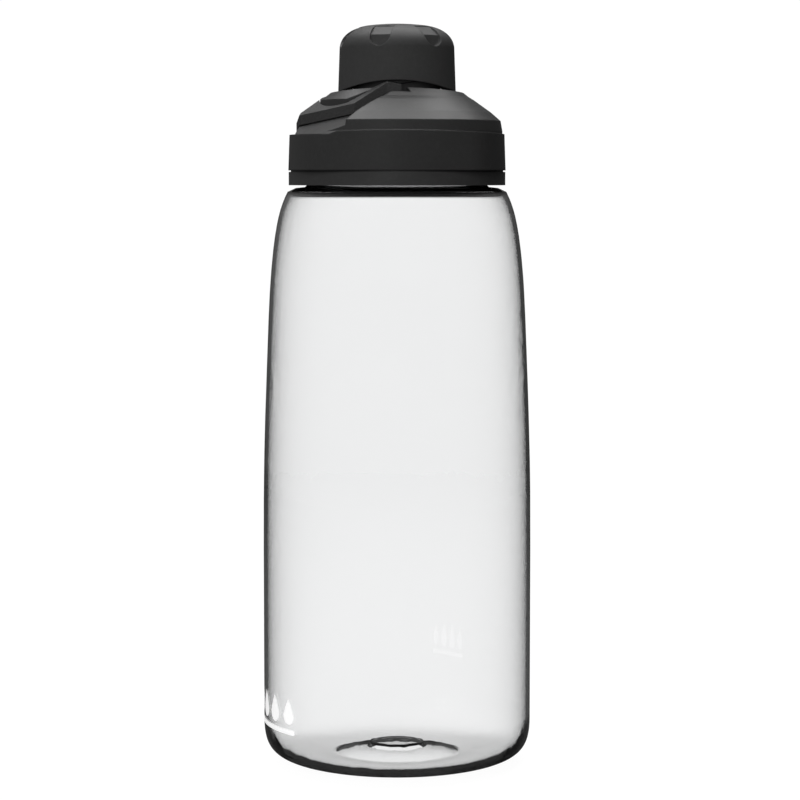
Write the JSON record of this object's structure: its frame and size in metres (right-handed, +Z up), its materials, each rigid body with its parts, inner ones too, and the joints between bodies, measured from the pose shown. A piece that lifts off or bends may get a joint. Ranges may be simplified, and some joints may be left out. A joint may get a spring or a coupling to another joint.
{
  "type": "water bottle",
  "caption": "Clear wide-mouth sports bottle with a black screw lid, a screw cap over its drinking spout, and a hinged finger handle folded into the lid.",
  "frame": {"origin": "on the bottle's axis, at the level of the foot ring it stands on", "axes": "+Z up along the bottle's axis; -X towards the folded handle; Y along the handle's pivot pins"},
  "size_m": [0.0896, 0.0896, 0.2472],
  "materials": {
    "clear_body": "glossy clear plastic",
    "lid_black": "fine satin texture",
    "liner_black": "satin",
    "handle_black": "soft matte with a fine stippled grain",
    "cap_black": "fine satin texture",
    "cap_liner_black": "satin",
    "seal": "soft grey silicone",
    "print_white": "screen-printed white ink",
    "pin_steel": "plain"
  },
  "bodies": {
    "bottle": {"bottle_body": "clear_body"},
    "lid_carrier": {"lid_seal": "seal"},
    "lid": {"lid_shell": "lid_black", "lid_liner": "liner_black", "handle_pins": "pin_steel"},
    "cap_carrier": {"cap_seal": "seal"},
    "cap": {"cap_shell": "cap_black", "cap_liner": "cap_liner_black"},
    "handle": {"handle": "handle_black"}
  },
  "joints": [
    {"name": "lid_rise", "type": "slide", "parent": "bottle", "child": "lid_carrier", "axis": [0, 0, 1], "range_m": [0, 0.016]},
    {"name": "lid_turn", "type": "hinge", "parent": "lid_carrier", "child": "lid", "pos_m": [0, 0, 0.2], "axis": [0, 0, 1], "range_deg": [0, 720]},
    {"name": "cap_rise", "type": "slide", "parent": "lid", "child": "cap_carrier", "axis": [0, 0, 1], "range_m": [0, 0.012]},
    {"name": "cap_turn", "type": "hinge", "parent": "cap_carrier", "child": "cap", "pos_m": [0, 0, 0.23], "axis": [0, 0, 1], "range_deg": [0, 270]},
    {"name": "handle_swing", "type": "hinge", "parent": "lid", "child": "handle", "pos_m": [-0.001, 0, 0.2216], "axis": [0, 1, 0], "range_deg": [0, 40]}
  ],
  "couplings": [
    {"joint": "lid_rise", "follows": "lid_turn", "m_per_rad": 0.0012732},
    {"joint": "cap_rise", "follows": "cap_turn", "m_per_rad": 0.0025465}
  ]
}
